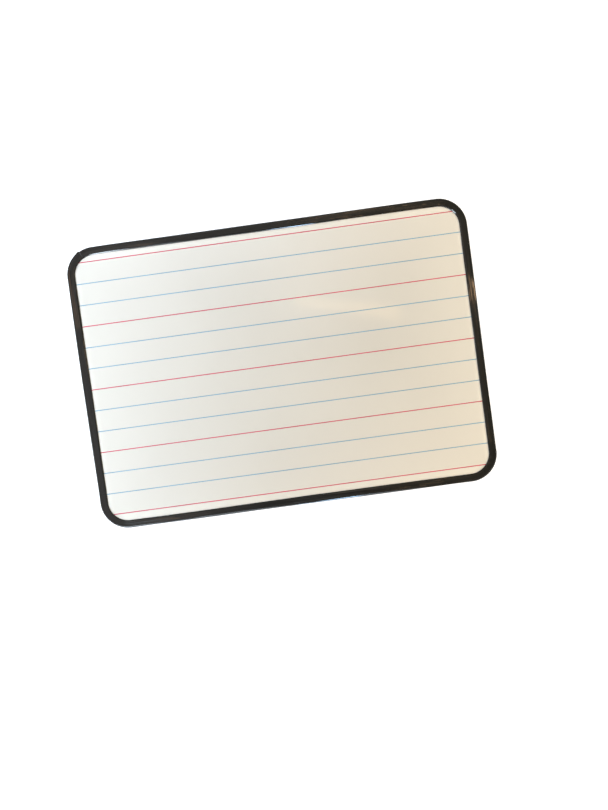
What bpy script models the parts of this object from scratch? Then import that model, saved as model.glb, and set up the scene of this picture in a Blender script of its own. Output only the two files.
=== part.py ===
"""Hand-held magnetic whiteboard: a steel-faced laminated panel in a one-piece plastic edging.

The board lies on its back. X runs along the writing, Y runs up the page, Z points out of the
writing face, and the origin is under the middle of the board. Lengths are in metres.
"""

import math

import bmesh
import bpy
from mathutils import Matrix, Vector

# Panel, as cut from laminated stock
PANEL_LENGTH = 0.297
PANEL_WIDTH = 0.209
PANEL_CORNER_RADIUS = 0.0192

# Layers of the panel, and the bond line left between two of them
FILM_THICKNESS = 0.0001
STEEL_THICKNESS = 0.0003
GLUE_THICKNESS = 0.0001
CORE_THICKNESS = 0.0020
BOND_LINE = 0.00002

# Edging: a U-channel pushed over the panel's edge
TRIM_WEB = 0.0013
TRIM_WEB_CLEARANCE = 0.0003
TRIM_LIP = 0.00095
TRIM_LIP_CLEARANCE = 0.00005
TRIM_LIP_REACH = 0.0043
TRIM_NOSE_RADIUS = 0.0015
TRIM_TIP_RADIUS = 0.0008
TRIM_JOINT_GAP = 0.0004

# The edging's ends meet in the upper left bend, this far round from the upper side
TRIM_JOINT_TURN = math.radians(27)

# A rounding takes at most this share of the wall that it rounds
NOSE_SHARE = 0.45
TIP_SHARE = 0.9

# Facets in a quarter turn
CORNER_STEPS = 18
NOSE_STEPS = 8
TIP_STEPS = 4

QUARTER_TURN = math.pi / 2
SHARP_ANGLE = math.radians(35)

# Colours of the films, the steel and the glue
FILM_WHITE = (0.88, 0.87, 0.84)
STEEL_GREY = (0.55, 0.56, 0.57)
GLUE_CREAM = (0.80, 0.74, 0.58)

# Layers from the back to the front: name, thickness, colour, roughness, metallic
LAYERS = (
    ("back_writing_film", FILM_THICKNESS, FILM_WHITE, 0.25, 0.0),
    ("back_steel_sheet", STEEL_THICKNESS, STEEL_GREY, 0.35, 1.0),
    ("back_glue_sheet", GLUE_THICKNESS, GLUE_CREAM, 0.60, 0.0),
    ("core_board", CORE_THICKNESS, (0.30, 0.20, 0.12), 0.85, 0.0),
    ("front_glue_sheet", GLUE_THICKNESS, GLUE_CREAM, 0.60, 0.0),
    ("front_steel_sheet", STEEL_THICKNESS, STEEL_GREY, 0.35, 1.0),
    ("front_writing_film", FILM_THICKNESS, FILM_WHITE, 0.15, 0.0),
)

# Finish of the edging
TRIM_BLACK = (0.012, 0.012, 0.012)
TRIM_ROUGHNESS = 0.3

# Sizes that follow from the ones above
STACK = sum(layer[1] for layer in LAYERS) + BOND_LINE * (len(LAYERS) - 1)
SLOT = STACK + 2 * TRIM_LIP_CLEARANCE
SLOT_FLOOR = TRIM_LIP
SLOT_ROOF = TRIM_LIP + SLOT
TRIM_HEIGHT = SLOT + 2 * TRIM_LIP
PANEL_BOTTOM = SLOT_FLOOR + TRIM_LIP_CLEARANCE
TRIM_OUTSIDE = TRIM_WEB_CLEARANCE + TRIM_WEB


def clear_scene():
    """Removes what the scene holds, so that only the board is left."""
    for old in list(bpy.data.objects):
        bpy.data.objects.remove(old, do_unlink=True)


def plain_material(name, colour, roughness, metallic):
    """A Principled material of one colour."""
    material = bpy.data.materials.new(name)
    material.use_nodes = True
    shader = material.node_tree.nodes["Principled BSDF"]
    shader.inputs["Base Color"].default_value = (*colour, 1.0)
    shader.inputs["Roughness"].default_value = roughness
    shader.inputs["Metallic"].default_value = metallic
    return material


def add_piece(name, bm, parent, material, height=0.0):
    """Turns a bmesh into a named object under the board's empty."""
    bmesh.ops.recalc_face_normals(bm, faces=bm.faces)
    mesh = bpy.data.meshes.new(name)
    bm.to_mesh(mesh)
    bm.free()
    mesh.shade_smooth()
    mesh.set_sharp_from_angle(angle=SHARP_ANGLE)
    mesh.materials.append(material)
    piece = bpy.data.objects.new(name, mesh)
    piece.parent = parent
    piece.location.z = height
    bpy.context.collection.objects.link(piece)
    return piece


def raise_face(bm, face, step):
    """Extrudes one face by a step and returns the face at the new end."""
    made = bmesh.ops.extrude_face_region(bm, geom=[face, *face.edges])["geom"]
    bmesh.ops.translate(bm, vec=step, verts=[v for v in made if isinstance(v, bmesh.types.BMVert)])
    return next(f for f in made if isinstance(f, bmesh.types.BMFace))


def layer_sheet(thickness):
    """One layer of the panel: a rectangle with rounded corners, raised to its thickness."""
    bm = bmesh.new()
    outline = Matrix.Diagonal((PANEL_LENGTH / 2, PANEL_WIDTH / 2, 1.0, 1.0))
    bmesh.ops.create_grid(bm, x_segments=1, y_segments=1, size=1.0, matrix=outline)
    bmesh.ops.bevel(
        bm,
        geom=list(bm.verts),
        offset=PANEL_CORNER_RADIUS,
        offset_type="OFFSET",
        affect="VERTICES",
        segments=CORNER_STEPS,
        profile=0.5,
        material=-1,
    )
    raise_face(bm, next(iter(bm.faces)), Vector((0.0, 0.0, thickness)))
    return bm


def arc(centre, radius, start, steps):
    """A quarter turn of points, counter-clockwise from the start angle."""
    angles = [start + QUARTER_TURN * i / steps for i in range(steps + 1)]
    return [(centre[0] + radius * math.cos(a), centre[1] + radius * math.sin(a)) for a in angles]


def channel_section():
    """The edging's U-section as (distance out from the panel's edge, height), counter-clockwise."""
    nose = min(TRIM_NOSE_RADIUS, NOSE_SHARE * TRIM_HEIGHT)
    tip = min(TRIM_TIP_RADIUS, TIP_SHARE * TRIM_LIP)
    tip_centre = -TRIM_LIP_REACH + tip
    nose_centre = TRIM_OUTSIDE - nose
    outside = (
        arc((tip_centre, tip), tip, -2 * QUARTER_TURN, TIP_STEPS)
        + arc((nose_centre, nose), nose, -QUARTER_TURN, NOSE_STEPS)
        + arc((nose_centre, TRIM_HEIGHT - nose), nose, 0.0, NOSE_STEPS)
        + arc((tip_centre, TRIM_HEIGHT - tip), tip, QUARTER_TURN, TIP_STEPS)
    )
    slot = [
        (-TRIM_LIP_REACH, SLOT_ROOF),
        (TRIM_WEB_CLEARANCE, SLOT_ROOF),
        (TRIM_WEB_CLEARANCE, SLOT_FLOOR),
        (-TRIM_LIP_REACH, SLOT_FLOOR),
    ]
    return outside + slot


def edge_channel():
    """The edging: its section bent round each corner and led along each side, from end to end."""
    half_run = PANEL_LENGTH / 2 - PANEL_CORNER_RADIUS
    side_run = PANEL_WIDTH / 2 - PANEL_CORNER_RADIUS
    half_gap = TRIM_JOINT_GAP / (2 * PANEL_CORNER_RADIUS)
    upper_left = Vector((-half_run, side_run, 0.0))
    lower_left = Vector((-half_run, -side_run, 0.0))
    lower_right = Vector((half_run, -side_run, 0.0))
    upper_right = Vector((half_run, side_run, 0.0))
    route = (
        (upper_left, QUARTER_TURN - TRIM_JOINT_TURN - half_gap),
        (lower_left, QUARTER_TURN),
        (lower_right, QUARTER_TURN),
        (upper_right, QUARTER_TURN),
        (upper_left, TRIM_JOINT_TURN - half_gap),
    )

    bm = bmesh.new()
    start = QUARTER_TURN + TRIM_JOINT_TURN + half_gap
    outward = Vector((math.cos(start), math.sin(start), 0.0))
    section = [
        bm.verts.new(upper_left + outward * (PANEL_CORNER_RADIUS + out) + Vector((0.0, 0.0, z)))
        for out, z in channel_section()
    ]
    end = bm.faces.new(section)
    for stop, (centre, turn) in enumerate(route):
        bend = bmesh.ops.spin(
            bm,
            geom=[end, *end.edges],
            cent=centre,
            axis=Vector((0.0, 0.0, 1.0)),
            angle=turn,
            steps=math.ceil(CORNER_STEPS * turn / QUARTER_TURN),
        )
        end = next(g for g in bend["geom_last"] if isinstance(g, bmesh.types.BMFace))
        if stop + 1 < len(route):
            end = raise_face(bm, end, route[stop + 1][0] - centre)
    return bm


def build():
    """Makes the panel's layers from the back up, then the edging round them."""
    clear_scene()
    board = bpy.data.objects.new("board", None)
    bpy.context.collection.objects.link(board)
    height = PANEL_BOTTOM
    for name, thickness, colour, roughness, metallic in LAYERS:
        material = plain_material(name, colour, roughness, metallic)
        add_piece(name, layer_sheet(thickness), board, material, height)
        height += thickness + BOND_LINE
    trim_material = plain_material("edge_trim", TRIM_BLACK, TRIM_ROUGHNESS, 0.0)
    add_piece("edge_trim", edge_channel(), board, trim_material)


build()
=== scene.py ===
"""Dresses the magnetic whiteboard: its bent edging, ruled writing face, finishes, stage and camera.

The file is laid out as an add-on and is run as a script. Lengths are in metres, in the frame of the
board's solids: X along the writing, Y up the page, Z out of the writing face.
"""

import math

import bmesh
import bpy
from bpy.props import FloatProperty, FloatVectorProperty, IntProperty, PointerProperty
from mathutils import Euler, Matrix, Quaternion, Vector


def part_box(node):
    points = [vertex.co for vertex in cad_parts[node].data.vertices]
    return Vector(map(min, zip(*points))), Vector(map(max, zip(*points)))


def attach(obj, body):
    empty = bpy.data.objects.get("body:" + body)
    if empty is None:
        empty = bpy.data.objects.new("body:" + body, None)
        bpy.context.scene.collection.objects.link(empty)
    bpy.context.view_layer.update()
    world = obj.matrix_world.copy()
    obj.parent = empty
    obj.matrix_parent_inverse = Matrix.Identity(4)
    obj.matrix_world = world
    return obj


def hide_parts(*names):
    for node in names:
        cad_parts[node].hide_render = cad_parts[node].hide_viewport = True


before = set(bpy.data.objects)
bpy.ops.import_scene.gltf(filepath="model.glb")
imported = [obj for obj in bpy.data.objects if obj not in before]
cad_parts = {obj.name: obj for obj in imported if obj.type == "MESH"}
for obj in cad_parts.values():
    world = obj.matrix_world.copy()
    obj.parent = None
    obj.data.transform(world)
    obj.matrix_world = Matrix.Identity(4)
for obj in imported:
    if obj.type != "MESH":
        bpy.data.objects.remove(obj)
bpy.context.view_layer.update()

bl_info = {
    "name": "Magnetic Whiteboard",
    "version": (1, 0, 0),
    "blender": (4, 5, 0),
    "location": "View3D > Sidebar > Whiteboard",
    "description": "Builds a ruled magnetic whiteboard with a bent plastic edging",
    "category": "Object",
}

BODY = "root"

# Corners of the solids that the fine pieces follow
PANEL_LOW, PANEL_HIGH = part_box("core_board")
TRIM_LOW, TRIM_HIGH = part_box("edge_trim")
FRONT_LOW, FRONT_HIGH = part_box("front_writing_film")
BACK_LOW, BACK_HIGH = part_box("back_writing_film")

QUARTER_TURN = math.pi / 2
FULL_TURN = 2 * math.pi
SHARP_ANGLE = math.radians(20)
UP = Vector((0.0, 0.0, 1.0))
RUN_MAP = "channel_run"

# Facets of the edging: in a bend, along a straight, and in the roundings of its section
BEND_STEPS = 64
STRAIGHT_STEP = 0.004
NOSE_STEPS = 12
TIP_STEPS = 8
HEEL_STEPS = 4
LIP_CUTS = 5

# Facets of the films' corners and soft edges, and of a printed line
PANEL_CORNER_STEPS = 48
FILM_EDGE_STEPS = 2
LINE_STEPS = 24

# Where a lip starts to fall towards the nose, as a share of its reach
CREST_SHARE = 0.7

# Width of the camera's sensor in millimetres
SENSOR_WIDTH = 36.0


class EdgingSettings(bpy.types.PropertyGroup):
    """The black plastic channel that is pushed over the panel's edge."""

    web_gap: FloatProperty(
        name="Web gap",
        description="Room between the panel's edge and the channel's web",
        default=0.0003,
        precision=5,
        unit="LENGTH",
    )
    lip_gap: FloatProperty(
        name="Lip gap",
        description="Room between a lip and the film under it",
        default=0.00004,
        precision=5,
        unit="LENGTH",
    )
    lip_reach: FloatProperty(
        name="Lip reach",
        description="How far a lip lies over the panel",
        default=0.0043,
        precision=5,
        unit="LENGTH",
    )
    lip_fall: FloatProperty(
        name="Lip fall",
        description="How far a lip's outside falls from tip to nose, as the panel spreads the channel",
        default=0.00035,
        precision=5,
        unit="LENGTH",
    )
    nose_radius: FloatProperty(
        name="Nose radius",
        description="Rounding of the channel's outer edges",
        default=0.0015,
        precision=5,
        unit="LENGTH",
    )
    tip_radius: FloatProperty(
        name="Tip radius",
        description="Rounding of a lip's outer edge",
        default=0.0008,
        precision=5,
        unit="LENGTH",
    )
    heel_radius: FloatProperty(
        name="Heel radius",
        description="Rounding of a lip's edge next to the film",
        default=0.0001,
        precision=5,
        unit="LENGTH",
    )
    joint_turn: FloatProperty(
        name="Joint turn",
        description="How far round the upper left bend the ends meet, from the upper side",
        default=math.radians(27),
        subtype="ANGLE",
    )
    joint_gap: FloatProperty(
        name="Joint gap",
        description="Gap between the two ends, at the panel's edge",
        default=0.00006,
        precision=5,
        unit="LENGTH",
    )
    spring_out: FloatProperty(
        name="Sprung end",
        description="How far the loose end at the joint stands out",
        default=0.0006,
        precision=5,
        unit="LENGTH",
    )
    spring_run: FloatProperty(
        name="Sprung run",
        description="Length over which the loose end comes back to the panel",
        default=0.0065,
        precision=5,
        unit="LENGTH",
    )
    tuck_in: FloatProperty(
        name="Tucked end",
        description="How far the other end at the joint is drawn in",
        default=0.00028,
        precision=5,
        unit="LENGTH",
    )
    lip_bunch: FloatProperty(
        name="Bunched lip",
        description="How far the lip at the loose end is pushed in over the film",
        default=0.0002,
        precision=5,
        unit="LENGTH",
    )
    joint_run: FloatProperty(
        name="Joint run",
        description="Length over which the tucked end and the bunched lip come back to the line",
        default=0.020,
        precision=5,
        unit="LENGTH",
    )
    pucker_height: FloatProperty(
        name="Pucker height",
        description="How far the front lip lifts where it is pressed short in a bend",
        default=0.00014,
        precision=5,
        unit="LENGTH",
    )
    pucker_count: IntProperty(name="Puckers", description="Puckers of the lip in one bend", default=6)
    wander: FloatProperty(
        name="Wander",
        description="How far the lips stray from a straight line",
        default=0.00010,
        precision=5,
        unit="LENGTH",
    )
    colour: FloatVectorProperty(
        name="Colour",
        description="Black of the plastic",
        default=(0.004, 0.004, 0.004),
        size=3,
        min=0.0,
        max=1.0,
        subtype="COLOR",
    )


class PanelSettings(bpy.types.PropertyGroup):
    """The laminated panel: its outline and the colours of its layers."""

    corner_radius: FloatProperty(
        name="Corner radius",
        description="Rounding of the panel's corners",
        default=0.0192,
        precision=5,
        unit="LENGTH",
    )
    film_edge: FloatProperty(
        name="Film edge",
        description="Softening of a film's cut edge",
        default=0.00003,
        precision=6,
        unit="LENGTH",
    )
    face_white: FloatVectorProperty(
        name="Writing face",
        description="White of the writing face",
        default=(0.86, 0.835, 0.785),
        size=3,
        min=0.0,
        max=1.0,
        subtype="COLOR",
    )
    back_white: FloatVectorProperty(
        name="Back",
        description="White of the back film",
        default=(0.83, 0.82, 0.79),
        size=3,
        min=0.0,
        max=1.0,
        subtype="COLOR",
    )
    steel_grey: FloatVectorProperty(
        name="Steel",
        description="Grey of the rolled steel sheets",
        default=(0.55, 0.56, 0.57),
        size=3,
        min=0.0,
        max=1.0,
        subtype="COLOR",
    )
    glue_cream: FloatVectorProperty(
        name="Glue",
        description="Cream of the dried glue",
        default=(0.80, 0.74, 0.58),
        size=3,
        min=0.0,
        max=1.0,
        subtype="COLOR",
    )
    fibre_brown: FloatVectorProperty(
        name="Fibreboard",
        description="Brown of the pressed fibres",
        default=(0.30, 0.20, 0.12),
        size=3,
        min=0.0,
        max=1.0,
        subtype="COLOR",
    )


class RulingSettings(bpy.types.PropertyGroup):
    """The printed writing lines."""

    count: IntProperty(name="Lines", description="Number of writing lines", default=13, min=1)
    red_every: IntProperty(
        name="Red every",
        description="Lines from one red line to the next",
        default=3,
        min=1,
    )
    pitch: FloatProperty(
        name="Pitch",
        description="Distance from one line to the next",
        default=0.01584,
        precision=5,
        unit="LENGTH",
    )
    lowest: FloatProperty(
        name="Lowest line",
        description="Height of the lowest line on the page, from the board's middle",
        default=-0.09474,
        precision=5,
        unit="LENGTH",
    )
    red_width: FloatProperty(
        name="Red width",
        description="Breadth of a red line",
        default=0.00068,
        precision=5,
        unit="LENGTH",
    )
    blue_width: FloatProperty(
        name="Blue width",
        description="Breadth of a blue line",
        default=0.00056,
        precision=5,
        unit="LENGTH",
    )
    ink_height: FloatProperty(
        name="Ink height",
        description="Thickness of the printed ink",
        default=0.000015,
        precision=6,
        unit="LENGTH",
    )
    edge_margin: FloatProperty(
        name="Edge margin",
        description="Bare film between a line's end and the panel's edge",
        default=0.0015,
        precision=5,
        unit="LENGTH",
    )
    red: FloatVectorProperty(
        name="Red ink",
        description="Colour of the red lines",
        default=(0.66, 0.062, 0.125),
        size=3,
        min=0.0,
        max=1.0,
        subtype="COLOR",
    )
    blue: FloatVectorProperty(
        name="Blue ink",
        description="Colour of the blue lines",
        default=(0.18, 0.42, 0.635),
        size=3,
        min=0.0,
        max=1.0,
        subtype="COLOR",
    )


class StageSettings(bpy.types.PropertyGroup):
    """Floor, studio light and camera."""

    camera_place: FloatVectorProperty(
        name="Camera place",
        description="Where the camera stands",
        default=(0.0156, -0.0197, 0.45926),
        size=3,
        subtype="XYZ",
        unit="LENGTH",
    )
    camera_turn: FloatVectorProperty(
        name="Camera turn",
        description="How the camera is turned from looking straight down",
        default=(math.radians(-1.619), math.radians(0.251), math.radians(-7.76)),
        size=3,
        subtype="EULER",
    )
    lens: FloatProperty(
        name="Lens",
        description="Focal length in millimetres, for a sensor 36 mm long",
        default=27.02,
        min=1.0,
    )
    floor_size: FloatProperty(
        name="Floor size",
        description="Half the side of the floor",
        default=4.0,
        unit="LENGTH",
    )
    floor_pale: FloatVectorProperty(
        name="Floor",
        description="Pale colour of the floor",
        default=(0.85, 0.85, 0.85),
        size=3,
        min=0.0,
        max=1.0,
        subtype="COLOR",
    )
    dome_light: FloatVectorProperty(
        name="Dome light",
        description="Colour and strength of the light from all round",
        default=(0.400, 0.367, 0.308),
        size=3,
        min=0.0,
        subtype="COLOR",
    )


def pin(sockets, key):
    """A node's socket by its identifier, or else by its name."""
    for candidate in sockets:
        if candidate.identifier == key:
            return candidate
    return sockets[key]


def add_node(tree, kind, inputs=None, **settings):
    """Adds a node, with its settings and with values or links on its inputs."""
    made = tree.nodes.new(kind)
    for name, value in settings.items():
        setattr(made, name, value)
    for key, value in (inputs or {}).items():
        if isinstance(value, bpy.types.NodeSocket):
            tree.links.new(value, pin(made.inputs, key))
        else:
            pin(made.inputs, key).default_value = value
    return made


def noise(tree, vector, scale, detail=3.0, roughness=0.5, stretch=(1.0, 1.0, 1.0), turn=0.0):
    """Noise on the given coordinates, which can be stretched and turned first."""
    mapping = {"Vector": vector, "Scale": stretch, "Rotation": (0.0, 0.0, turn)}
    placed = add_node(tree, "ShaderNodeMapping", mapping).outputs["Vector"]
    inputs = {"Vector": placed, "Scale": scale, "Detail": detail, "Roughness": roughness}
    return add_node(tree, "ShaderNodeTexNoise", inputs).outputs["Fac"]


def spread(tree, value, low, high, out_low, out_high, smooth=False):
    """Maps a value from one range to another, and holds it there."""
    inputs = {"Value": value, "From Min": low, "From Max": high, "To Min": out_low, "To Max": out_high}
    kind = "SMOOTHSTEP" if smooth else "LINEAR"
    return add_node(tree, "ShaderNodeMapRange", inputs, interpolation_type=kind).outputs["Result"]


def ramp(tree, value, stops):
    """A colour ramp through (place, colour) stops."""
    made = add_node(tree, "ShaderNodeValToRGB", {"Fac": value})
    elements = made.color_ramp.elements
    while len(elements) < len(stops):
        elements.new(0.5)
    for element, (place, colour) in zip(elements, stops):
        element.position = place
        element.color = (*colour, 1.0)
    return made.outputs["Color"]


def maths(tree, operation, first, second=0.0):
    """The result of one sum on values or sockets."""
    return add_node(tree, "ShaderNodeMath", {0: first, 1: second}, operation=operation).outputs["Value"]


def scaled(tree, colour, level):
    """A colour from the tree, times a level from it."""
    inputs = {0: colour, "Scale": level}
    return add_node(tree, "ShaderNodeVectorMath", inputs, operation="SCALE").outputs["Vector"]


def blend(tree, share, first, second):
    """A mix of two colours."""
    inputs = {"Factor_Float": share, "A_Color": first, "B_Color": second}
    mix = add_node(tree, "ShaderNodeMix", inputs, data_type="RGBA")
    return pin(mix.outputs, "Result_Color")


def shaded(colour, factor):
    """A colour made lighter or darker."""
    return tuple(min(1.0, channel * factor) for channel in colour)


def bump(tree, height, strength, distance, under=None):
    """A bump from a height, laid over another one where that is given."""
    inputs = {"Height": height, "Strength": strength, "Distance": distance}
    if under is not None:
        inputs["Normal"] = under
    return add_node(tree, "ShaderNodeBump", inputs).outputs["Normal"]


def new_finish(name):
    """A fresh material, with its node tree and its shader."""
    material = bpy.data.materials.new(name)
    material.use_nodes = True
    tree = material.node_tree
    return material, tree, tree.nodes["Principled BSDF"]


def join(tree, shader, colour=None, roughness=None, normal=None):
    """Links what is given to the shader."""
    for key, value in (("Base Color", colour), ("Roughness", roughness), ("Normal", normal)):
        if value is not None:
            tree.links.new(value, shader.inputs[key])


def object_place(tree):
    """Object coordinates."""
    return add_node(tree, "ShaderNodeTexCoord").outputs["Object"]


# The edging's plastic, and the dust on it
PLASTIC_IOR = 1.5
DUST_GREY = (0.10, 0.095, 0.085)


def black_channel_finish(colour):
    """Drawn black plastic: die lines along the run, a soft gloss, faint scuffs and a little dust."""
    material, tree, shader = new_finish("black_channel")
    run = add_node(tree, "ShaderNodeUVMap", uv_map=RUN_MAP).outputs["UV"]
    place = object_place(tree)
    die_lines = noise(tree, run, 1.0, detail=4.0, stretch=(22.0, 5200.0, 1.0))
    flutes = noise(tree, run, 1.0, detail=2.0, stretch=(9.0, 430.0, 1.0))
    scuffs = noise(tree, place, 170.0, detail=7.0, roughness=0.66)
    dust = noise(tree, place, 1500.0, detail=2.0, roughness=0.6)
    sheen = noise(tree, run, 1.0, detail=3.0, stretch=(24.0, 420.0, 1.0))
    tones = [(0.30, shaded(colour, 0.75)), (0.62, colour), (0.80, shaded(colour, 2.4))]
    specks = spread(tree, dust, 0.71, 0.80, 0.0, 0.55)
    dusty = blend(tree, specks, ramp(tree, scuffs, tones), (*DUST_GREY, 1.0))
    lined = spread(tree, die_lines, 0.3, 0.7, 0.03, 0.06)
    dulled = spread(tree, sheen, 0.48, 0.62, 0.0, 0.20)
    fluted = bump(tree, flutes, 1.0, 0.0008)
    drawn = bump(tree, die_lines, 0.25, 0.00002, fluted)
    skin = bump(tree, noise(tree, place, 2600.0, detail=2.0), 0.12, 0.00002, drawn)
    join(tree, shader, dusty, maths(tree, "ADD", lined, dulled), skin)
    shader.inputs["IOR"].default_value = PLASTIC_IOR
    return material


def away_from(tree, place, spot):
    """How far a place lies from a spot."""
    inputs = {0: place, 1: spot}
    return add_node(tree, "ShaderNodeVectorMath", inputs, operation="DISTANCE").outputs["Value"]


def from_edges(tree, place):
    """How far a point of the panel lies from its nearest short side, and from its nearest long one."""
    axes = add_node(tree, "ShaderNodeSeparateXYZ", {"Vector": place})
    return (
        maths(tree, "SUBTRACT", PANEL_HIGH.x, maths(tree, "ABSOLUTE", axes.outputs["X"])),
        maths(tree, "SUBTRACT", PANEL_HIGH.y, maths(tree, "ABSOLUTE", axes.outputs["Y"])),
    )


# Painted light and shade on the writing face: how far in from the lips the painted shade builds up, how
# wide the painted brightening beside the lips is at the ends and along the sides, and the painted shadow
# patch
INWARD_DARKENING_REACH = 0.040
BRIGHT_BAND_AT_ENDS = 0.0042
BRIGHT_BAND_AT_SIDES = 0.0072
SHADOW_SPOT = (0.070, 0.010)
SHADOW_REACH = 0.070


def writing_face_finish(colour, lip_reach):
    """Glossy dry-wipe film: faint clouds, painted light and shade by its edges and in one patch, marks in
    the gloss.
    """
    material, tree, shader = new_finish("writing_face")
    place = object_place(tree)
    clouds = noise(tree, place, 16.0, detail=5.0, roughness=0.55)
    wiped = noise(tree, place, 1.0, detail=5.0, stretch=(26.0, 420.0, 1.0), turn=math.radians(14))
    hazed = noise(tree, place, 11.0, detail=4.0)
    clean = ramp(tree, clouds, [(0.32, shaded(colour, 0.985)), (0.68, shaded(colour, 1.008))])
    from_ends, from_sides = from_edges(tree, place)
    from_rim = maths(tree, "MINIMUM", from_ends, from_sides)
    # Painted shadow: a soft patch right of the middle, up to 5% darker, stands in for a shadow over the
    # board
    off_shadow_spot = away_from(tree, place, (*SHADOW_SPOT, FRONT_HIGH.z))
    # Painted shade: the film grows 2.5% darker from the lips towards the middle; with the lines below this
    # holds all painted light and shade
    painted_light_and_shade = spread(tree, from_rim, lip_reach, lip_reach + INWARD_DARKENING_REACH, 1.0, 0.975, smooth=True)
    # Painted highlight: the film beside the lips is up to 10% lighter at the ends and 17% along the sides,
    # against the lips' shade
    painted_bright_ends = spread(tree, from_ends, lip_reach, lip_reach + BRIGHT_BAND_AT_ENDS, 1.10, 1.0)
    painted_bright_sides = spread(tree, from_sides, lip_reach, lip_reach + BRIGHT_BAND_AT_SIDES, 1.17, 1.0)
    painted_shadow = spread(tree, off_shadow_spot, 0.0, SHADOW_REACH, 0.95, 1.0, smooth=True)
    painted_light_and_shade = maths(tree, "MULTIPLY", painted_light_and_shade, maths(tree, "MAXIMUM", painted_bright_ends, painted_bright_sides))
    painted_light_and_shade = maths(tree, "MULTIPLY", painted_light_and_shade, painted_shadow)
    streaked = spread(tree, wiped, 0.35, 0.70, 0.035, 0.055)
    dulled = spread(tree, hazed, 0.40, 0.65, 0.0, 0.02)
    swell = bump(tree, noise(tree, place, 20.0, detail=2.0), 0.10, 0.0004)
    skin = bump(tree, noise(tree, place, 1400.0, detail=2.0), 0.05, 0.00001, swell)
    join(tree, shader, scaled(tree, clean, painted_light_and_shade), maths(tree, "ADD", streaked, dulled), skin)
    return material


def ink_finish(name, colour):
    """Printed ink under the film's gloss, with the grain of the print."""
    material, tree, shader = new_finish(name)
    place = object_place(tree)
    grain = noise(tree, place, 700.0, detail=4.0, roughness=0.6)
    print_run = noise(tree, place, 1.0, detail=3.0, stretch=(45.0, 300.0, 1.0))
    uneven = maths(tree, "MULTIPLY", grain, print_run)
    tones = [(0.16, shaded(colour, 0.90)), (0.25, colour), (0.36, shaded(colour, 1.10))]
    join(tree, shader, ramp(tree, uneven, tones), spread(tree, grain, 0.3, 0.7, 0.10, 0.16))
    return material


def back_film_finish(colour):
    """Plain white backing film: satin, with a fine pebbled skin and faint handling marks."""
    material, tree, shader = new_finish("backing_film")
    place = object_place(tree)
    clouds = noise(tree, place, 13.0, detail=5.0)
    handled = noise(tree, place, 1.0, detail=6.0, stretch=(35.0, 150.0, 1.0), turn=math.radians(-32))
    white = ramp(tree, clouds, [(0.30, shaded(colour, 0.97)), (0.70, shaded(colour, 1.01))])
    pebbles = noise(tree, place, 2100.0, detail=3.0)
    join(
        tree,
        shader,
        white,
        spread(tree, handled, 0.35, 0.70, 0.28, 0.42),
        bump(tree, pebbles, 0.18, 0.00003),
    )
    return material


def rolled_steel_finish(colour):
    """Thin rolled steel, with the mill's lines along the sheet."""
    material, tree, shader = new_finish("rolled_steel")
    place = object_place(tree)
    mill = noise(tree, place, 1.0, detail=6.0, stretch=(14.0, 1900.0, 1.0))
    stain = noise(tree, place, 24.0, detail=4.0)
    uneven = maths(tree, "MULTIPLY", mill, stain)
    steel = ramp(tree, uneven, [(0.14, shaded(colour, 0.82)), (0.36, shaded(colour, 1.10))])
    join(tree, shader, steel, spread(tree, mill, 0.3, 0.7, 0.28, 0.46), bump(tree, mill, 0.2, 0.00002))
    shader.inputs["Metallic"].default_value = 1.0
    return material


def dried_glue_finish(colour):
    """Dried contact glue, spread with a comb and full of small bubbles."""
    material, tree, shader = new_finish("dried_glue")
    place = object_place(tree)
    comb = noise(tree, place, 1.0, detail=3.0, stretch=(30.0, 260.0, 1.0))
    cells = add_node(tree, "ShaderNodeTexVoronoi", {"Vector": place, "Scale": 420.0})
    bubbles = bump(tree, cells.outputs["Distance"], 0.3, 0.00005)
    cream = ramp(tree, comb, [(0.30, shaded(colour, 0.88)), (0.70, shaded(colour, 1.06))])
    join(tree, shader, cream, spread(tree, comb, 0.3, 0.7, 0.45, 0.7), bubbles)
    return material


def pressed_fibre_finish(colour):
    """Hard fibreboard: matted fibres in two browns."""
    material, tree, shader = new_finish("pressed_fibre")
    place = object_place(tree)
    long_fibres = noise(tree, place, 1.0, detail=6.0, roughness=0.7, stretch=(160.0, 900.0, 900.0))
    cross_fibres = noise(tree, place, 1.0, detail=6.0, roughness=0.7, stretch=(900.0, 160.0, 900.0))
    mat = maths(tree, "MAXIMUM", long_fibres, cross_fibres)
    browns = [(0.42, shaded(colour, 0.60)), (0.55, colour), (0.72, shaded(colour, 1.45))]
    matt = spread(tree, mat, 0.4, 0.7, 0.75, 0.92)
    join(tree, shader, ramp(tree, mat, browns), matt, bump(tree, mat, 0.5, 0.0001))
    return material


def make_piece(name, bm, finish, node=None):
    """Turns a bmesh into a finished piece that rides on the board."""
    bmesh.ops.recalc_face_normals(bm, faces=bm.faces)
    mesh = bpy.data.meshes.new(name)
    bm.to_mesh(mesh)
    bm.free()
    mesh.shade_smooth()
    mesh.set_sharp_from_angle(angle=SHARP_ANGLE)
    mesh.materials.append(finish)
    piece = bpy.data.objects.new(name, mesh)
    bpy.context.scene.collection.objects.link(piece)
    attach(piece, BODY)
    if node is not None:
        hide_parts(node)


def refinish(node, finish):
    """Gives a solid of the frame a new finish."""
    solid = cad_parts[node]
    solid.data.materials.clear()
    solid.data.materials.append(finish)


def raise_face(bm, face, step):
    """Extrudes one face by a step and returns the face at the new end."""
    made = bmesh.ops.extrude_face_region(bm, geom=[face, *face.edges])["geom"]
    bmesh.ops.translate(bm, vec=step, verts=[v for v in made if isinstance(v, bmesh.types.BMVert)])
    return next(f for f in made if isinstance(f, bmesh.types.BMFace))


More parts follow.
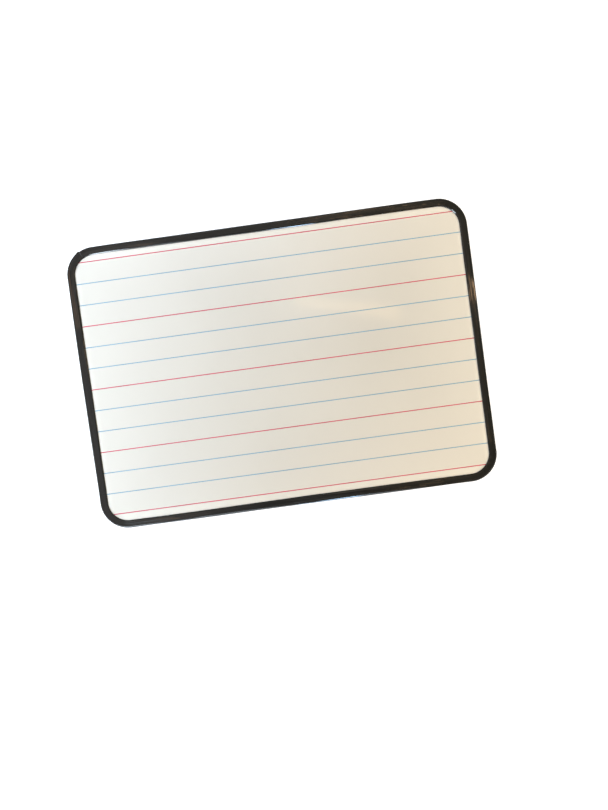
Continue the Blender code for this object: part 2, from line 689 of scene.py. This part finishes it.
def film_sheet(panel, low, high):
    """A film with the panel's rounded outline, its cut edge a little softened."""
    bm = bmesh.new()
    outline = Matrix.Translation((0.0, 0.0, low.z)) @ Matrix.Diagonal((high.x, high.y, 1.0, 1.0))
    bmesh.ops.create_grid(bm, x_segments=1, y_segments=1, size=1.0, matrix=outline)
    bmesh.ops.bevel(
        bm,
        geom=list(bm.verts),
        offset=panel.corner_radius,
        offset_type="OFFSET",
        affect="VERTICES",
        segments=PANEL_CORNER_STEPS,
        profile=0.5,
        material=-1,
    )
    lower = next(iter(bm.faces))
    upper = raise_face(bm, lower, UP * (high.z - low.z))
    bmesh.ops.bevel(
        bm,
        geom=list(upper.edges),
        offset=panel.film_edge,
        offset_type="OFFSET",
        affect="EDGES",
        segments=FILM_EDGE_STEPS,
        profile=0.5,
        material=-1,
    )
    return bm


def half_length_at(y, panel):
    """Half the panel's length at a height on the page, where its corners are round."""
    into_corner = max(0.0, abs(y) - (PANEL_HIGH.y - panel.corner_radius))
    return PANEL_HIGH.x - panel.corner_radius + math.sqrt(panel.corner_radius**2 - into_corner**2)


def ruled_lines(panel, ruling, indices, width):
    """The printed lines with the given indices, as thin strips of ink on the front film."""
    bm = bmesh.new()
    for index in indices:
        y = ruling.lowest + ruling.pitch * index
        half_length = half_length_at(y, panel) - ruling.edge_margin
        place = Matrix.Translation((0.0, y, FRONT_HIGH.z))
        strip = bmesh.ops.create_grid(
            bm,
            x_segments=LINE_STEPS,
            y_segments=1,
            size=1.0,
            matrix=place @ Matrix.Diagonal((half_length, width / 2, 1.0, 1.0)),
        )
        faces = {face for vert in strip["verts"] for face in vert.link_faces}
        edges = {edge for face in faces for edge in face.edges}
        made = bmesh.ops.extrude_face_region(bm, geom=[*faces, *edges])["geom"]
        top = [v for v in made if isinstance(v, bmesh.types.BMVert)]
        bmesh.ops.translate(bm, vec=UP * ruling.ink_height, verts=top)
    return bm


def channel_section(bm, edging):
    """Draws the edging's U-section upright, X out from the panel's edge, and returns its face."""
    outside = TRIM_HIGH.x - PANEL_HIGH.x
    floor = BACK_LOW.z - edging.lip_gap
    roof = FRONT_HIGH.z + edging.lip_gap
    corners = (
        (edging.web_gap, floor),
        (-edging.lip_reach, floor),
        (-edging.lip_reach, TRIM_LOW.z),
        (outside, TRIM_LOW.z),
        (outside, TRIM_HIGH.z),
        (-edging.lip_reach, TRIM_HIGH.z),
        (-edging.lip_reach, roof),
        (edging.web_gap, roof),
    )
    verts = [bm.verts.new((out, 0.0, z)) for out, z in corners]
    bm.faces.new(verts)
    roundings = (
        ((verts[3], verts[4]), edging.nose_radius, NOSE_STEPS),
        ((verts[2], verts[5]), edging.tip_radius, TIP_STEPS),
        ((verts[1], verts[6]), edging.heel_radius, HEEL_STEPS),
    )
    for chosen, radius, steps in roundings:
        bmesh.ops.bevel(
            bm,
            geom=chosen,
            offset=radius,
            offset_type="OFFSET",
            affect="VERTICES",
            segments=steps,
            profile=0.5,
            material=-1,
        )
    shortest = edging.lip_reach / 3
    lips = [edge for edge in bm.edges if abs(edge.verts[0].co.x - edge.verts[1].co.x) > shortest]
    bmesh.ops.subdivide_edges(bm, edges=lips, cuts=LIP_CUTS)
    crest = -CREST_SHARE * edging.lip_reach
    for vert in bm.verts:
        fall = edging.lip_fall * (max(0.0, vert.co.x - crest) / (outside - crest)) ** 2
        if vert.co.z > roof:
            vert.co.z -= fall * (vert.co.z - roof) / (TRIM_HIGH.z - roof)
        elif vert.co.z < floor:
            vert.co.z += fall * (floor - vert.co.z) / (floor - TRIM_LOW.z)
    return next(iter(bm.faces))


def mark_around(bm, face, start):
    """Notes on each point of the section how far round it lies, for the finish to follow the run."""
    around = bm.verts.layers.float.new("around")
    loops = list(face.loops)
    first = min(range(len(loops)), key=lambda i: (loops[i].vert.co - start).length)
    ordered = loops[first:] + loops[:first]
    length = 0.0
    before = ordered[0].vert
    for loop in ordered:
        length += (loop.vert.co - before.co).length
        loop.vert[around] = length
        before = loop.vert


def straights(corner_radius):
    """Half the straight run of a long side, and of a short one."""
    return PANEL_HIGH.x - corner_radius, PANEL_HIGH.y - corner_radius


def locate(point, corner_radius):
    """Places a point by the panel's outline: the way out, how far out, how far along and into a bend."""
    half_run, side_run = straights(corner_radius)
    core_x = min(max(point.x, -half_run), half_run)
    core_y = min(max(point.y, -side_run), side_run)
    away = Vector((point.x - core_x, point.y - core_y, 0.0))
    angle = math.atan2(away.y, away.x) % FULL_TURN
    quarter = math.ceil(angle / QUARTER_TURN - 1e-6)
    straight = (
        core_y + side_run,
        2 * side_run + half_run - core_x,
        3 * side_run + 2 * half_run - core_y,
        4 * side_run + 3 * half_run + core_x,
        4 * side_run + 4 * half_run,
    )[quarter]
    bend = math.sin(2 * math.atan2(abs(away.y), abs(away.x)))
    return away.normalized(), away.length - corner_radius, straight + corner_radius * angle, bend


# The waves by which the edging strays: the share of each, its length over a radian and its start
STRAY_WAVES = ((0.5, 0.031, 0.4), (0.3, 0.0127, 2.1), (0.2, 0.0071, 4.4))


def stray(along):
    """An uneven wave along the edging, between about -1 and 1."""
    return sum(share * math.sin(along / length + start) for share, length, start in STRAY_WAVES)


# Stretches where the soft channel has settled off its line: their middle along the run from the joint,
# half their length, how far the web stands out there, and how far the lips reach in
SETTLED_STRETCHES = (
    (0.004, 0.024, 0.0, 0.00025),
    (0.090, 0.110, 0.0005, 0.0),
    (0.207, 0.034, 0.00025, -0.0001),
    (0.270, 0.060, 0.0002, -0.0003),
    (0.400, 0.090, 0.00015, 0.0003),
    (0.496, 0.026, 0.0003, 0.0),
    (0.526, 0.040, 0.0002, -0.00025),
    (0.640, 0.050, 0.0001, 0.0002),
    (0.696, 0.024, -0.00015, 0.0002),
    (0.745, 0.075, 0.0003, -0.0002),
    (0.840, 0.080, 0.0001, 0.00025),
)


def settled(from_joint, total):
    """How far the web stands out and the lips reach in at a place along the run."""
    web = 0.0
    lips = 0.0
    for middle, half_length, out, inwards in SETTLED_STRETCHES:
        apart = abs(from_joint - middle)
        apart = min(apart, total - apart)
        hump = max(0.0, 1.0 - (apart / half_length) ** 2) ** 2
        web += out * hump
        lips += inwards * hump
    return web, lips


def settle_channel(bm, edging, panel, joint_along):
    """Lets the soft channel settle as it does by hand: straying lips, puckered bends, a sprung end."""
    around = bm.verts.layers.float["around"]
    run_map = bm.loops.layers.uv.new(RUN_MAP)
    half_run, side_run = straights(panel.corner_radius)
    total = 4 * (half_run + side_run) + FULL_TURN * panel.corner_radius
    middle = (TRIM_LOW.z + TRIM_HIGH.z) / 2
    moves = {}
    for vert in bm.verts:
        outward, out, along, bend = locate(vert.co, panel.corner_radius)
        from_joint = (along - joint_along) % total
        for loop in vert.link_loops:
            loop[run_map].uv = (from_joint, vert[around])
        lip = min(1.0, max(0.0, -out / edging.lip_reach))
        shift = edging.wander * lip * stray(from_joint)
        shift += edging.spring_out * (1.0 - lip) * max(0.0, 1.0 - from_joint / edging.spring_run) ** 2
        shift -= edging.lip_bunch * lip * max(0.0, 1.0 - from_joint / edging.joint_run)
        shift -= edging.tuck_in * max(0.0, 1.0 - (total - from_joint) / edging.joint_run)
        web_out, lips_in = settled(from_joint, total)
        shift += web_out * (1.0 - lip) - lips_in * lip
        lift = 0.0
        if vert.co.z > middle:
            turns = FULL_TURN * edging.pucker_count * along / (QUARTER_TURN * panel.corner_radius)
            ripple = 0.5 - 0.5 * math.cos(turns + stray(along))
            lift = edging.pucker_height * lip**2 * bend * ripple
        moves[vert] = outward * shift + UP * lift
    for vert, move in moves.items():
        vert.co += move


def bent_channel(edging, panel):
    """The edging: its section led along each side and bent round each corner, from end to end."""
    half_run, side_run = straights(panel.corner_radius)
    half_gap = edging.joint_gap / (2 * panel.corner_radius)
    upper_left = Vector((-half_run, side_run, 0.0))
    route = (
        (upper_left, QUARTER_TURN - edging.joint_turn - half_gap),
        (Vector((-half_run, -side_run, 0.0)), QUARTER_TURN),
        (Vector((half_run, -side_run, 0.0)), QUARTER_TURN),
        (Vector((half_run, side_run, 0.0)), QUARTER_TURN),
        (upper_left, edging.joint_turn - half_gap),
    )
    bm = bmesh.new()
    end = channel_section(bm, edging)
    mark_around(bm, end, Vector((edging.web_gap, 0.0, BACK_LOW.z - edging.lip_gap)))
    start = QUARTER_TURN + edging.joint_turn + half_gap
    to_edge = Matrix.Translation((panel.corner_radius, 0.0, 0.0))
    to_joint = Matrix.Translation(upper_left) @ Matrix.Rotation(start, 4, "Z") @ to_edge
    bmesh.ops.transform(bm, matrix=to_joint, verts=bm.verts)
    for stop, (centre, turn) in enumerate(route):
        bent = bmesh.ops.spin(
            bm,
            geom=[end, *end.edges],
            cent=centre,
            axis=UP,
            angle=turn,
            steps=math.ceil(BEND_STEPS * turn / QUARTER_TURN),
        )
        end = next(g for g in bent["geom_last"] if isinstance(g, bmesh.types.BMFace))
        if stop + 1 < len(route):
            end = raise_face(bm, end, route[stop + 1][0] - centre)
    for run in (2 * half_run, 2 * side_run):
        lengthwise = [edge for edge in bm.edges if abs(edge.calc_length() - run) < STRAIGHT_STEP]
        bmesh.ops.subdivide_edges(bm, edges=lengthwise, cuts=round(run / STRAIGHT_STEP))
    joint = upper_left + panel.corner_radius * Vector((math.cos(start), math.sin(start), 0.0))
    settle_channel(bm, edging, panel, locate(joint, panel.corner_radius)[2])
    return bm


class WHITEBOARD_OT_add_edging(bpy.types.Operator):
    """Builds the black channel round the panel"""

    bl_idname = "whiteboard.add_edging"
    bl_label = "Add Edging"

    def execute(self, context):
        edging = context.scene.whiteboard_edging
        bm = bent_channel(edging, context.scene.whiteboard_panel)
        make_piece("bent_edging", bm, black_channel_finish(edging.colour), "edge_trim")
        return {"FINISHED"}


class WHITEBOARD_OT_add_films(bpy.types.Operator):
    """Builds the glossy writing film and the plain backing film"""

    bl_idname = "whiteboard.add_films"
    bl_label = "Add Films"

    def execute(self, context):
        panel = context.scene.whiteboard_panel
        lip_reach = context.scene.whiteboard_edging.lip_reach
        face = film_sheet(panel, FRONT_LOW, FRONT_HIGH)
        glossy = writing_face_finish(panel.face_white, lip_reach)
        make_piece("writing_face", face, glossy, "front_writing_film")
        back = film_sheet(panel, BACK_LOW, BACK_HIGH)
        satin = back_film_finish(panel.back_white)
        make_piece("backing_face", back, satin, "back_writing_film")
        return {"FINISHED"}


class WHITEBOARD_OT_add_ruling(bpy.types.Operator):
    """Prints the red and blue writing lines on the front film"""

    bl_idname = "whiteboard.add_ruling"
    bl_label = "Add Ruling"

    def execute(self, context):
        panel = context.scene.whiteboard_panel
        ruling = context.scene.whiteboard_ruling
        red = [i for i in range(ruling.count) if i % ruling.red_every == 0]
        blue = [i for i in range(ruling.count) if i % ruling.red_every]
        inks = (
            ("red_lines", red, ruling.red_width, ruling.red),
            ("blue_lines", blue, ruling.blue_width, ruling.blue),
        )
        for name, indices, width, colour in inks:
            bm = ruled_lines(panel, ruling, indices, width)
            make_piece(name, bm, ink_finish(name, colour))
        return {"FINISHED"}


class WHITEBOARD_OT_finish_layers(bpy.types.Operator):
    """Gives the layers inside the panel their finishes"""

    bl_idname = "whiteboard.finish_layers"
    bl_label = "Finish Layers"

    def execute(self, context):
        panel = context.scene.whiteboard_panel
        steel = rolled_steel_finish(panel.steel_grey)
        glue = dried_glue_finish(panel.glue_cream)
        for side in ("front", "back"):
            refinish(f"{side}_steel_sheet", steel)
            refinish(f"{side}_glue_sheet", glue)
        refinish("core_board", pressed_fibre_finish(panel.fibre_brown))
        return {"FINISHED"}


# Soft lamps: name, place, point aimed at, size, colour, watts. The last one stands under the floor,
# which casts no shadow, and lights the back.
SOFT_LAMPS = (
    ("cool_side", (-0.27, 0.0, 0.18), (-0.05, 0.0, 0.0), (2.0, 0.10), (0.71, 0.85, 1.0), 2.90),
    ("warm_side", (0.28, 0.0, 0.18), (0.06, 0.0, 0.0), (2.0, 0.10), (1.0, 0.81, 0.53), 1.50),
    ("upper_left", (-0.045, 0.165, 0.10), (-0.045, 0.08, 0.0), (0.14, 0.06), (0.60, 0.76, 1.0), 0.033),
    ("upper_right", (0.08, 0.165, 0.10), (0.08, 0.08, 0.0), (0.20, 0.06), (1.0, 0.84, 0.75), 0.013),
    ("lower_right", (0.08, -0.165, 0.10), (0.08, -0.08, 0.0), (0.20, 0.06), (1.0, 0.68, 0.36), 0.022),
    ("back_fill", (0.0, 0.0, -0.5), (0.0, 0.0, 0.0), (0.60, 0.60), (1.0, 1.0, 1.0), 2.2),
)

# Cards that only the edging's gloss shows: name, place, point aimed at, size, colour, watts and, if they
# don't shine to all sides, the degrees over which they fan out
PALE_SKY = (0.75, 0.88, 1.0)
CLEAR_SKY = (0.45, 0.70, 1.0)
BROWN = (1.0, 0.62, 0.34)
EDGING_CARDS = (
    ("window", (-0.478, -0.828, 0.30), (-0.12, 0.10, 0.0), (0.52, 0.45), PALE_SKY, 4.2),
    ("low_window", (-0.030, -0.95, 0.30), (-0.030, 0.10, 0.0), (0.46, 0.60), PALE_SKY, 2.4),
    ("glint_left", (-0.172, -0.035, 0.079), (-0.126, 0.1005, 0.0047), (0.032, 0.144), PALE_SKY, 0.12, 80.0),
    ("glint_run", (-0.200, -0.237, 0.190), (-0.104, 0.1005, 0.0047), (0.060, 0.36), PALE_SKY, 0.060, 80.0),
    ("glint_middle", (0.022, -0.287, 0.105), (0.014, 0.1005, 0.0047), (0.06, 0.15), CLEAR_SKY, 0.045, 30.0),
    ("glint_bend", (0.038, 0.013, 0.096), (0.1411, 0.0951, 0.0047), (0.028, 0.144), PALE_SKY, 0.069, 80.0),
    ("brown_panel", (0.476, 0.107, 0.505), (0.147, 0.107, 0.005), (0.032, 0.36), BROWN, 0.34),
    ("brown_beam", (-0.58, 0.25, 0.80), (-0.147, 0.25, 0.0), (0.16, 0.32), BROWN, 0.20),
    ("brown_shelf", (0.205, 0.46, 1.0), (0.205, 0.103, 0.0), (0.36, 0.04), BROWN, 0.30),
    ("brown_ledge", (0.489, -0.16, 1.0), (0.146, -0.16, 0.0), (0.11, 0.04), BROWN, 0.035),
    ("brown_block", (0.270, -0.47, 1.0), (0.270, -0.103, 0.0), (0.05, 0.16), BROWN, 0.15),
    ("brown_lath", (-0.35, 0.46, 1.0), (-0.35, 0.103, 0.0), (0.06, 0.16), BROWN, 0.060),
    ("brown_step", (-0.355, -0.42, 1.0), (-0.355, -0.103, 0.0), (0.06, 0.22), BROWN, 0.070),
)

# Cards that only the writing face's gloss shows: the same, and then the degrees that they are turned
AMBER = (1.0, 0.68, 0.30)
FACE_CARDS = (
    ("warm_strip", (0.138, 0.158, 1.0), (0.138, 0.158, 0.0), (0.25, 0.026), AMBER, 0.040, 180.0, -14.5),
    ("warm_end", (0.195, 0.143, 1.0), (0.195, 0.143, 0.0), (0.13, 0.036), AMBER, 0.018, 180.0, -14.5),
)


def seen_rays(tree):
    """One for the camera's rays, and one for all that show a backdrop, in gloss and glass too."""
    path = add_node(tree, "ShaderNodeLightPath")
    camera_rays = path.outputs["Is Camera Ray"]
    seen = camera_rays
    for kind in ("Is Glossy Ray", "Is Transmission Ray"):
        seen = maths(tree, "MAXIMUM", seen, path.outputs[kind])
    return camera_rays, seen


# The floor's glow towards rays that show a backdrop
FLOOR_GLOW = (0.92, 0.95, 1.0)
FLOOR_GLOW_STRENGTH = 0.78


def floor_finish(pale):
    """Pale floor that looks white to the camera and in gloss, keeps shadows and is clear from below."""
    material = bpy.data.materials.new("pale_floor")
    material.use_nodes = True
    tree = material.node_tree
    tree.nodes.clear()
    seen = seen_rays(tree)[1]
    matt = add_node(tree, "ShaderNodeBsdfDiffuse", {"Color": (*pale, 1.0)}).outputs["BSDF"]
    shine = {"Color": (*FLOOR_GLOW, 1.0), "Strength": FLOOR_GLOW_STRENGTH}
    glow = add_node(tree, "ShaderNodeEmission", shine).outputs["Emission"]
    lifted = add_node(tree, "ShaderNodeAddShader", {0: matt, 1: glow}).outputs["Shader"]
    front = add_node(tree, "ShaderNodeMixShader", {0: seen, 1: matt, 2: lifted}).outputs["Shader"]
    clear = add_node(tree, "ShaderNodeBsdfTransparent").outputs["BSDF"]
    below = add_node(tree, "ShaderNodeNewGeometry").outputs["Backfacing"]
    both = add_node(tree, "ShaderNodeMixShader", {0: below, 1: front, 2: clear}).outputs["Shader"]
    add_node(tree, "ShaderNodeOutputMaterial", {"Surface": both})
    return material


def add_floor(stage):
    """The floor that the board lies on."""
    bm = bmesh.new()
    bmesh.ops.create_grid(bm, x_segments=1, y_segments=1, size=stage.floor_size)
    mesh = bpy.data.meshes.new("floor")
    bm.to_mesh(mesh)
    bm.free()
    mesh.materials.append(floor_finish(stage.floor_pale))
    floor = bpy.data.objects.new("floor", mesh)
    floor.visible_shadow = False
    bpy.context.scene.collection.objects.link(floor)


def ceiling(tree, direction, across):
    """What gloss shows overhead: cool at the left, warm at the right, darker round the camera."""
    place = spread(tree, across, -0.40, 0.40, 0.0, 1.0)
    tint = ramp(
        tree,
        place,
        [
            (0.05, (0.82, 0.80, 0.77)),
            (0.20, (1.0, 0.98, 0.94)),
            (0.45, (0.86, 0.83, 0.76)),
            (0.70, (0.66, 0.56, 0.41)),
            (0.86, (0.48, 0.43, 0.32)),
        ],
    )
    streaks = noise(tree, direction, 9.0, detail=3.0, stretch=(1.0, 0.3, 1.0))
    uneven = spread(tree, streaks, 0.32, 0.68, 0.48, 1.45)
    from_camera = away_from(tree, direction, (-0.02, -0.17, 0.985))
    from_lower_side = away_from(tree, direction, (0.01, -0.46, 0.888))
    camera_shade = spread(tree, from_camera, 0.06, 0.26, 0.40, 1.0, smooth=True)
    lower_shade = spread(tree, from_lower_side, 0.05, 0.28, 0.45, 1.0, smooth=True)
    level = maths(tree, "MULTIPLY", uneven, maths(tree, "MULTIPLY", camera_shade, lower_shade))
    return scaled(tree, tint, level)


def add_dome(stage):
    """The studio dome: soft light from all round, white to the camera, with a ceiling in gloss."""
    world = bpy.data.worlds.new("studio_dome")
    bpy.context.scene.world = world
    world.use_nodes = True
    tree = world.node_tree
    tree.nodes.clear()
    camera_rays, seen = seen_rays(tree)
    direction = add_node(tree, "ShaderNodeTexCoord").outputs["Generated"]
    axes = add_node(tree, "ShaderNodeSeparateXYZ", {"Vector": direction})
    overhead = spread(tree, axes.outputs["Z"], 0.10, 0.45, 0.0, 1.0, smooth=True)
    in_gloss = maths(tree, "MULTIPLY", overhead, maths(tree, "SUBTRACT", 1.0, camera_rays))
    above = ceiling(tree, direction, axes.outputs["X"])
    shown = blend(tree, in_gloss, (1.0, 1.0, 1.0, 1.0), above)
    backdrop = add_node(tree, "ShaderNodeBackground", {"Color": shown}).outputs["Background"]
    glow = {"Color": (*stage.dome_light, 1.0)}
    light = add_node(tree, "ShaderNodeBackground", glow).outputs["Background"]
    mixed = add_node(tree, "ShaderNodeMixShader", {0: seen, 1: light, 2: backdrop})
    add_node(tree, "ShaderNodeOutputWorld", {"Surface": mixed.outputs["Shader"]})


def add_lamp(name, place, aim, size, colour, watts, fan=180.0, turn=0.0, shown_by=None):
    """A soft oblong lamp, unseen by the camera: it lights all, or only shows in some pieces' gloss."""
    lamp = bpy.data.lights.new(name, "AREA")
    lamp.shape = "RECTANGLE"
    lamp.size, lamp.size_y = size
    lamp.color = colour
    lamp.energy = watts
    lamp.spread = math.radians(fan)
    holder = bpy.data.objects.new(name, lamp)
    holder.location = place
    holder.rotation_mode = "QUATERNION"
    facing = (Vector(aim) - Vector(place)).to_track_quat("-Z", "Y")
    holder.rotation_quaternion = facing @ Quaternion((0.0, 0.0, 1.0), math.radians(turn))
    holder.visible_camera = False
    holder.visible_diffuse = shown_by is None
    holder.visible_glossy = shown_by is not None
    holder.light_linking.receiver_collection = shown_by
    bpy.context.scene.collection.objects.link(holder)


def gloss_group(name, pieces):
    """The pieces whose gloss shows some of the cards."""
    group = bpy.data.collections.new(name)
    for piece in pieces:
        group.objects.link(bpy.data.objects[piece])
    return group


def add_camera(stage):
    """The camera, almost straight above the board."""
    data = bpy.data.cameras.new("camera")
    data.lens = stage.lens
    data.sensor_width = SENSOR_WIDTH
    data.clip_start = 0.01
    data.clip_end = 50.0
    camera = bpy.data.objects.new("camera", data)
    camera.location = stage.camera_place
    camera.rotation_euler = Euler(stage.camera_turn, "XYZ")
    bpy.context.scene.collection.objects.link(camera)
    bpy.context.scene.camera = camera


class WHITEBOARD_OT_add_stage(bpy.types.Operator):
    """Adds the pale floor, the studio light and the camera"""

    bl_idname = "whiteboard.add_stage"
    bl_label = "Add Stage"

    def execute(self, context):
        stage = context.scene.whiteboard_stage
        context.scene.view_settings.view_transform = "Standard"
        add_floor(stage)
        add_dome(stage)
        for lamp in SOFT_LAMPS:
            add_lamp(*lamp)
        edging = gloss_group("edging_gloss", ("bent_edging",))
        for card in EDGING_CARDS:
            add_lamp(*card, shown_by=edging)
        face = gloss_group("face_gloss", ("writing_face", "red_lines", "blue_lines"))
        for card in FACE_CARDS:
            add_lamp(*card, shown_by=face)
        add_camera(stage)
        return {"FINISHED"}


class WHITEBOARD_PT_sidebar(bpy.types.Panel):
    """Lists the steps and sizes of the whiteboard"""

    bl_label = "Magnetic Whiteboard"
    bl_idname = "WHITEBOARD_PT_sidebar"
    bl_space_type = "VIEW_3D"
    bl_region_type = "UI"
    bl_category = "Whiteboard"

    def draw(self, context):
        steps = (
            (WHITEBOARD_OT_add_edging, context.scene.whiteboard_edging),
            (WHITEBOARD_OT_add_films, context.scene.whiteboard_panel),
            (WHITEBOARD_OT_add_ruling, context.scene.whiteboard_ruling),
            (WHITEBOARD_OT_finish_layers, None),
            (WHITEBOARD_OT_add_stage, context.scene.whiteboard_stage),
        )
        for step, settings in steps:
            box = self.layout.box()
            box.operator(step.bl_idname)
            if settings is not None:
                for name in settings.__annotations__:
                    box.prop(settings, name)


SETTINGS = {
    "whiteboard_edging": EdgingSettings,
    "whiteboard_panel": PanelSettings,
    "whiteboard_ruling": RulingSettings,
    "whiteboard_stage": StageSettings,
}
CLASSES = (
    *SETTINGS.values(),
    WHITEBOARD_OT_add_edging,
    WHITEBOARD_OT_add_films,
    WHITEBOARD_OT_add_ruling,
    WHITEBOARD_OT_finish_layers,
    WHITEBOARD_OT_add_stage,
    WHITEBOARD_PT_sidebar,
)


def register():
    """Registers the classes and puts the settings on the scene."""
    for cls in CLASSES:
        bpy.utils.register_class(cls)
    for name, group in SETTINGS.items():
        setattr(bpy.types.Scene, name, PointerProperty(type=group))


def unregister():
    """Takes the settings and the classes away again."""
    for name in SETTINGS:
        delattr(bpy.types.Scene, name)
    for cls in reversed(CLASSES):
        bpy.utils.unregister_class(cls)


def main():
    """Builds the whole board and its stage."""
    register()
    bpy.ops.whiteboard.add_edging()
    bpy.ops.whiteboard.add_films()
    bpy.ops.whiteboard.add_ruling()
    bpy.ops.whiteboard.finish_layers()
    bpy.ops.whiteboard.add_stage()


if __name__ == "__main__":
    main()
